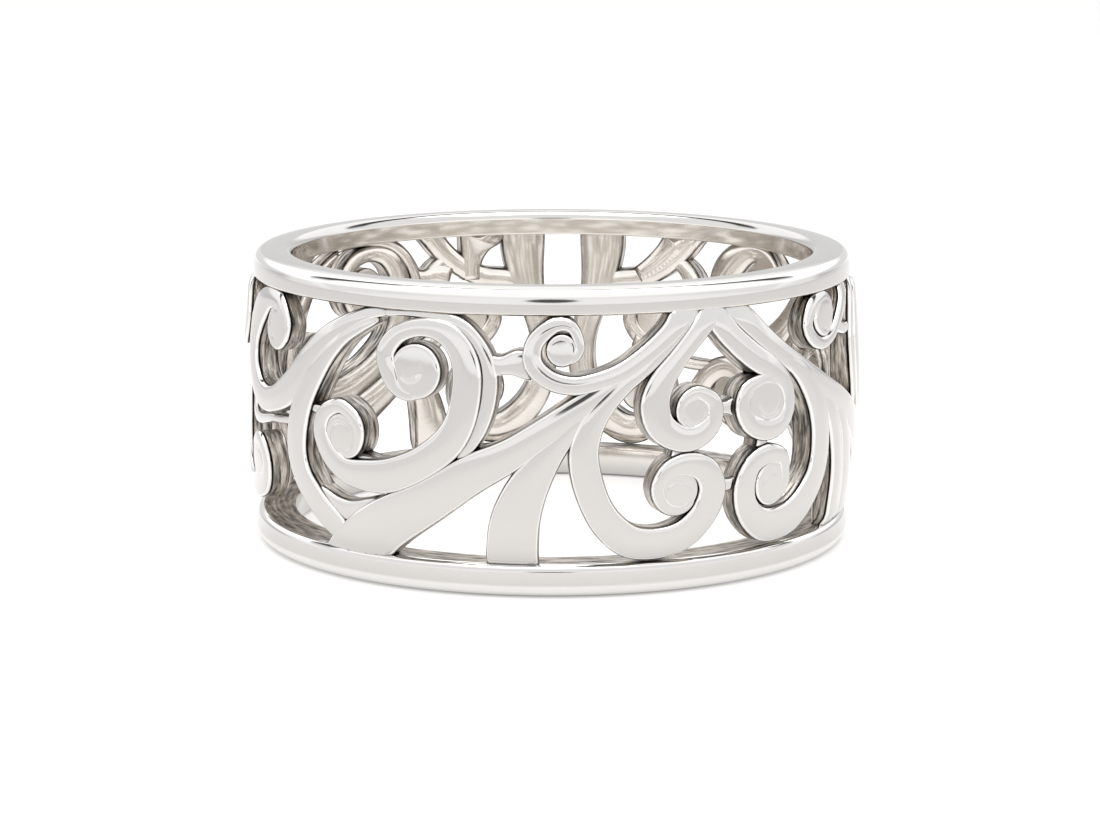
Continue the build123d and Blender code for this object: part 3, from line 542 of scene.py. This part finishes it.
def bar_section(width, face_radius, back_radius, crown):
    """A strand's whole section, as wall_section gives one side of it."""
    half = width / 2
    shoulder = min(SHOULDER / MM, SHOULDER_MOST * width)
    flat = half - shoulder
    face = [(share * flat, face_radius + crown * (1 - (share * flat / half) ** 2), FACE, 0.0)
            for share in FACE_ROWS]
    right = wall_section(half, face[0][1], back_radius, shoulder)
    left = [(-across, radius, finish_and_painted_light, depth) for across, radius, finish_and_painted_light, depth in reversed(right)]
    return face + right + left


def sweep_strand(bm, stations, lift, back_radius):
    """Extrudes a strand's section along its line, closes it and cuts it off inside the rails."""
    around = bm.verts.layers.int.new("around")
    finish_and_light_layer = bm.verts.layers.float.new("finish_and_painted_light")
    depth_layer = bm.verts.layers.float.new("wall_depth")
    line = smooth_line(stations)
    lengths = [0.0]
    for (here, _), (there, _) in zip(line, line[1:]):
        lengths.append(lengths[-1] + (there.xy - here.xy).length)
    ring = []
    for (point, direction), length in zip(line, lengths):
        height = point.y * MM
        from_tip = min(length, lengths[-1] - length)
        sink = TIP_SINK * max(0.0, 1 - from_tip / TIP_REACH) ** 2
        middle_radius = band_radius(height)
        section = bar_section(point.z, middle_radius + (lift - sink) * MM, back_radius,
                              CROWN * min(1.0, from_tip / CROWN_REACH))
        if not ring:
            verts = [bm.verts.new() for _ in section]
            for index, vert in enumerate(verts):
                vert[around] = index
            ring = [bm.edges.new((a, b)) for a, b in zip(verts, verts[1:] + verts[:1])]
            first_ring = ring
        else:
            extruded = bmesh.ops.extrude_edge_only(bm, edges=ring)["geom"]
            verts = [item for item in extruded if isinstance(item, bmesh.types.BMVert)]
            fresh = set(verts)
            ring = [item for item in extruded if isinstance(item, bmesh.types.BMEdge)
                    and item.verts[0] in fresh and item.verts[1] in fresh]
        for vert in verts:
            across, radius, finish_and_painted_light, depth = section[vert[around]]
            along = point.x - direction.y * across
            up = height + direction.x * across * MM
            outward = min(1.0, (radius - back_radius) / (middle_radius - back_radius))
            vert.co = wrapped(along, up, radius + (band_radius(up) - middle_radius) * outward)
            vert[finish_and_light_layer] = finish_and_painted_light
            vert[depth_layer] = depth
    for end in (first_ring, ring):
        bmesh.ops.contextual_create(bm, geom=end)
    for height, outside in ((LOWER_RAIL - LOWER_TUCK, -1), (upper_bottom + UPPER_TUCK, 1)):
        cut = bmesh.ops.bisect_plane(bm, geom=bm.verts[:] + bm.edges[:] + bm.faces[:],
                                     plane_co=(0, 0, height), plane_no=(0, 0, outside),
                                     clear_outer=True)["geom_cut"]
        edges = [item for item in cut if isinstance(item, bmesh.types.BMEdge)]
        if edges:
            bmesh.ops.holes_fill(bm, edges=edges)


def wound_in(station, sweep, turn, up, wide):
    """Stations that wind a strand on round a drop, until it is hidden in the drop."""
    x, y = (station[0] - turn) * mm_per_degree, station[1] - up
    start, outer_start = math.degrees(math.atan2(y, x)), math.hypot(x, y) + station[2] / 2
    steps = round(abs(sweep) / WIND_STEP)
    winding = []
    for step in range(1, steps + 1):
        share = step / steps
        angle = math.radians(start + sweep * share)
        width = station[2] + (WIND_WIDTH - station[2]) * share
        reach = outer_start + (wide / 2 - WIND_INSET - outer_start) * share - width / 2
        winding.append((turn + reach * math.cos(angle) / mm_per_degree, up + reach * math.sin(angle),
                        width))
    return winding


def mirrored(stations, mirror_turn):
    return [(2 * mirror_turn - turn, up, wide) for turn, up, wide in stations]


for name, place, sweep, turn, up, wide, *_ in CURL_ENDS.values():
    winding = wound_in(STRANDS[name][place], sweep, turn, up, wide)
    STRANDS[name] = winding[::-1] + STRANDS[name] if place == 0 else STRANDS[name] + winding
all_strands = list(STRANDS.items())
for names, mirror_turn in MIRRORED_GROUPS:
    all_strands += [(name, mirrored(STRANDS[name], mirror_turn)) for name in names]

scroll_mesh = bpy.data.meshes.new("scroll_parts")
scrollwork_mesh = bmesh.new()
for index, (name, stations) in enumerate(all_strands):
    strand = bmesh.new()
    back_radius = crest_radius - BAND_WALL + BACK_STEP * (index % BACK_STEPS) * MM
    sweep_strand(strand, stations, LIFTS.get(name, 0.0), back_radius)
    strand.to_mesh(scroll_mesh)
    strand.free()
    scrollwork_mesh.from_mesh(scroll_mesh)


# The curls' round ends: a flat drop of metal at the eye of each scroll, flush with its strand
# and buffed with it. A fine line, cut in the model before casting, carries the spiral on over
# the drop towards its middle.
DROP_RINGS = 11            # rings of its face, from
DROP_FIRST_RING = 0.3      # this share of the way out
DROP_TURNS = 60            # sections round a drop
DROP_CROWN = 0.014 * MM    # height of its crown
DROP_SHOULDER_MOST = 0.4   # its rounding is at most this share of its radius
DROP_FACE = 0.05           # down to so many mm it is face, on which the spiral line may run,
DROP_UPPER = 0.4           # and below so many mm its wall is stretched to the band's thickness
SAME_POINT = 1e-5          # points nearer than so many mm are one
LINE_WIDTH = 0.040         # half the width of the spiral line, in mm,
LINE_DEPTH = 0.032         # and its depth in mm
LINE_START = 6             # it deepens over one part in so many of its sweep
LINE_END = 3               # and runs out over the last part in so many


def line_depth(across, up, middle, radii, start, sweep):
    """Depth in mm of the spiral line at a point of a drop."""
    angle = math.degrees(math.atan2(up - middle[1], across - middle[0]))
    turned = (angle - start) % 360 if sweep > 0 else (start - angle) % 360
    share = turned / abs(sweep)
    if share > 1:
        return 0.0
    reach = math.hypot(across - middle[0], up - middle[1])
    line_reach = radii[0] + (radii[1] - radii[0]) * share
    fade = min(1.0, LINE_START * share, LINE_END * (1 - share))
    return LINE_DEPTH * fade * math.exp(-((reach - line_reach) / LINE_WIDTH) ** 2)


def add_drop(bm, turn, up, wide, lift, middle_x, middle_up, first, last, start, sweep):
    """Spins a domed drop flat on the chart, cuts its line and lays it round the ring."""
    radius = wide / 2
    shoulder = min(SHOULDER / MM, DROP_SHOULDER_MOST * radius)
    profile = [(0, DROP_CROWN, FACE, 0.0)]
    for ring in range(DROP_RINGS + 1):
        across = (radius - shoulder) * (DROP_FIRST_RING + (1 - DROP_FIRST_RING) * ring / DROP_RINGS)
        profile.append((across, DROP_CROWN * (1 - (across / radius) ** 2), FACE, 0.0))
    profile += wall_section(radius, profile[-1][1], -BAND_WALL, shoulder)
    drop = bmesh.new()
    finish_and_light_layer = drop.verts.layers.float.new("finish_and_painted_light")
    depth_layer = drop.verts.layers.float.new("wall_depth")
    verts = []
    for across, rise, finish_and_painted_light, depth in profile:
        vert = drop.verts.new((across, 0, rise / MM))
        vert[finish_and_light_layer] = finish_and_painted_light
        vert[depth_layer] = depth
        verts.append(vert)
    edges = [drop.edges.new(pair) for pair in zip(verts, verts[1:])]
    bmesh.ops.spin(drop, geom=verts + edges, cent=(0, 0, 0), axis=(0, 0, 1),
                   angle=2 * math.pi, steps=DROP_TURNS, use_merge=True, use_duplicate=False)
    bmesh.ops.remove_doubles(drop, verts=drop.verts, dist=SAME_POINT)
    rim = [edge for edge in drop.edges if edge.is_boundary]
    bmesh.ops.holes_fill(drop, edges=rim)
    back = BAND_WALL / MM
    for vert in drop.verts:
        across, upward, rise = vert.co
        height = (up + upward) * MM
        face_radius = band_radius(height) + lift * MM
        if rise > -DROP_FACE:
            rise -= line_depth(across, upward, (middle_x, middle_up), (first, last), start, sweep)
        full_depth = (face_radius - crest_radius) / MM + back
        radial = face_radius + (rise if rise > -DROP_UPPER else rise * full_depth / back) * MM
        vert.co = wrapped(turn * mm_per_degree + across, height, radial)
    drop.to_mesh(scroll_mesh)
    drop.free()
    bm.from_mesh(scroll_mesh)


all_ends = [numbers[3:] for numbers in CURL_ENDS.values()]
for names, mirror_turn in MIRRORED_ENDS:
    for name in names:
        turn, up, wide, lift, middle_x, middle_up, first, last, start, sweep = CURL_ENDS[name][3:]
        all_ends.append((2 * mirror_turn - turn, up, wide, lift, -middle_x, middle_up, first, last,
                         180 - start, -sweep))
for curl_end in all_ends:
    add_drop(scrollwork_mesh, *curl_end)
bpy.data.meshes.remove(scroll_mesh)
scrollwork = finished_piece("scrollwork", scrollwork_mesh, silver_metal)
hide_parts("openwork_ring")


# The table that the ring lies on: a plain sheet of white acrylic lit from below, as for
# pictures of jewellery, so that it glows evenly and takes only a faint shadow.
FLOOR_PALE = "#F4F3F1"     # colour of its glow
FLOOR_TOP = "#B6B5B4"      # what its upper side gives back of the light from above
FLOOR_GLOW = 0.52          # and its own glow, as a share of white,
GLOW_NEAR = 12 * MM        # strongest this near to the ring's axis,
GLOW_FAR = 45 * MM         # and weakest from here on,
GLOW_LEFT = 0.55           # where so much of it is left
FLOOR_ROUGHNESS = 0.9
FLOOR_HALF = 1.5           # half of its width, in metres

floor_mesh = bmesh.new()
bmesh.ops.create_grid(floor_mesh, x_segments=1, y_segments=1, size=FLOOR_HALF)
floor_data = bpy.data.meshes.new("floor")
floor_mesh.to_mesh(floor_data)
floor_mesh.free()
floor = bpy.data.objects.new("floor", floor_data)
bpy.context.scene.collection.objects.link(floor)
acrylic = bpy.data.materials.new("lit_acrylic")
acrylic.use_nodes = True
acrylic_shader = acrylic.node_tree.nodes["Principled BSDF"]
acrylic_shader.inputs["Base Color"].default_value = linear(FLOOR_TOP)
acrylic_shader.inputs["Roughness"].default_value = FLOOR_ROUGHNESS
acrylic_shader.inputs["Emission Color"].default_value = linear(FLOOR_PALE)
floor_place = add_node(acrylic, "ShaderNodeTexCoord")
from_ring = add_node(acrylic, "ShaderNodeVectorMath", [(floor_place.outputs["Object"], 0)],
                     operation="LENGTH")
floor_glow = add_node(acrylic, "ShaderNodeMapRange", [(from_ring.outputs["Value"], "Value")],
                      From_Min=GLOW_NEAR, From_Max=GLOW_FAR, To_Min=FLOOR_GLOW,
                      To_Max=FLOOR_GLOW * GLOW_LEFT)
acrylic.node_tree.links.new(floor_glow.outputs["Result"],
                            acrylic_shader.inputs["Emission Strength"])
floor_data.materials.append(acrylic)


# The light: a white photo tent with a wide soft panel over the ring. The tent's open seam
# behind the panel, and the dark hood of the lens in the tent's front, draw the thin dark lines
# along the metal's rounded edges.
PANEL_HEIGHT = 0.45        # in metres
PANEL_SIDE = 0.40          # in metres
PANEL_GLOW = 3.2           # brightness of the panel, as a multiple of white
TENT = [                   # degrees from the front over the top to the back, and brightness there
    (0, 1.40), (14, 1.40), (24, 1.20), (112, 1.25), (117, 0.08), (128, 0.08), (132, 1.5),
    (160, 1.4), (167, 0.82), (180, 0.82),
]
TENT_STRENGTH = 2.5        # the brightness that the ramps below take as 1
SEAM_ENDS = (0.70, 0.90)   # the seam fades between these shares of the way to the tent's sides,
SIDE_TONE = 1.25           # which are this bright
CAMERA_RISE = 10.4         # degrees above the table
HOOD_HALF = 8.0            # half of the hood's width, in degrees as the ring sees it
HOOD_SQUAT = 2.0           # the hood is wider than high by this factor
HOOD_SOFT = 2.5            # degrees over which its edge fades
HOOD_TONE = 0.06           # share of the tent's light that comes from it
panel_light = bpy.data.lights.new("soft_panel", "AREA")
panel_light.shape = "SQUARE"
panel_light.size = PANEL_SIDE
panel_light.energy = PANEL_GLOW * math.pi * PANEL_SIDE ** 2
panel = bpy.data.objects.new("soft_panel", panel_light)
panel.location = (0, 0, PANEL_HEIGHT)
bpy.context.scene.collection.objects.link(panel)
world = bpy.data.worlds.new("photo_tent")
world.use_nodes = True
world.node_tree.nodes.clear()
way = add_node(world, "ShaderNodeTexCoord")
parts = add_node(world, "ShaderNodeSeparateXYZ", [(way.outputs["Generated"], "Vector")])
forwards = add_node(world, "ShaderNodeMath", [(parts.outputs["Y"], 0)], second=-1,
                    operation="MULTIPLY")
over = add_node(world, "ShaderNodeMath", [(parts.outputs["Z"], 0), (forwards.outputs[0], 1)],
                operation="ARCTAN2")
share = add_node(world, "ShaderNodeMath", [(over.outputs[0], 0)], second=math.pi,
                 operation="DIVIDE")
tent = add_ramp(world, share.outputs[0],
                {from_front / 180: brightness / TENT_STRENGTH for from_front, brightness in TENT})
camera_rise = math.radians(CAMERA_RISE)
squat_way = add_node(world, "ShaderNodeMapping", [(way.outputs["Generated"], "Vector")],
                     vector_type="TEXTURE", Rotation=(-camera_rise, 0, 0),
                     Scale=(1, 1, 1 / HOOD_SQUAT))
even_way = add_node(world, "ShaderNodeVectorMath", [(squat_way.outputs["Vector"], 0)],
                    operation="NORMALIZE")
towards_hood = add_node(world, "ShaderNodeVectorMath", [(even_way.outputs["Vector"], 0)],
                        second=(0, -1, 0), operation="DOT_PRODUCT")
hood = add_node(world, "ShaderNodeMapRange", [(towards_hood.outputs["Value"], "Value")],
                From_Min=math.cos(math.radians(HOOD_HALF + HOOD_SOFT)),
                From_Max=math.cos(math.radians(HOOD_HALF)), To_Min=1.0, To_Max=HOOD_TONE)
sideways = add_node(world, "ShaderNodeMath", [(parts.outputs["X"], 0)], operation="ABSOLUTE")
sides = add_node(world, "ShaderNodeMapRange", [(sideways.outputs[0], "Value")],
                 From_Min=SEAM_ENDS[0], From_Max=SEAM_ENDS[1], To_Min=0.0,
                 To_Max=SIDE_TONE / TENT_STRENGTH)
closed = add_node(world, "ShaderNodeVectorMath",
                  [(tent.outputs["Color"], 0), (sides.outputs["Result"], 1)], operation="MAXIMUM")
lit = add_node(world, "ShaderNodeVectorMath",
               [(closed.outputs["Vector"], 0), (hood.outputs["Result"], 1)], operation="MULTIPLY")
glow = add_node(world, "ShaderNodeBackground", [(lit.outputs["Vector"], "Color")],
                Strength=TENT_STRENGTH)
add_node(world, "ShaderNodeOutputWorld", [(glow.outputs["Background"], "Surface")])
bpy.context.scene.world = world
bpy.context.scene.view_settings.view_transform = "Standard"


# The camera: a long lens, a hand's breadth off and a little above the ring's rim. Its distance,
# height and focal length are the ones at which both rims look as they do in the photo.
CAMERA_DISTANCE = 110 * MM
LENS_PIXELS = 3253         # the lens's focal length in the photo's own pixels
PHOTO_WIDE = 1100
PHOTO_HIGH = 825
AIM_PIXEL = (551.7, 386.5)     # where the point aimed at lies in the photo
AIM_HEIGHT = 4.9 * MM
SENSOR_WIDE = 36           # mm
NEAREST = 5 * MM           # nothing nearer to the camera is shown
camera_data = bpy.data.cameras.new("camera")
camera_data.sensor_fit = "HORIZONTAL"
camera_data.sensor_width = SENSOR_WIDE
camera_data.lens = LENS_PIXELS * camera_data.sensor_width / PHOTO_WIDE
camera_data.shift_x = (PHOTO_WIDE / 2 - AIM_PIXEL[0]) / PHOTO_WIDE
camera_data.shift_y = (AIM_PIXEL[1] - PHOTO_HIGH / 2) / PHOTO_WIDE
camera_data.clip_start = NEAREST
camera = bpy.data.objects.new("camera", camera_data)
aim = Vector((0, 0, AIM_HEIGHT))
camera.location = aim + CAMERA_DISTANCE * Vector((0, -math.cos(camera_rise), math.sin(camera_rise)))
camera.rotation_euler = (aim - camera.location).to_track_quat("-Z", "Y").to_euler()
bpy.context.scene.collection.objects.link(camera)
bpy.context.scene.camera = camera
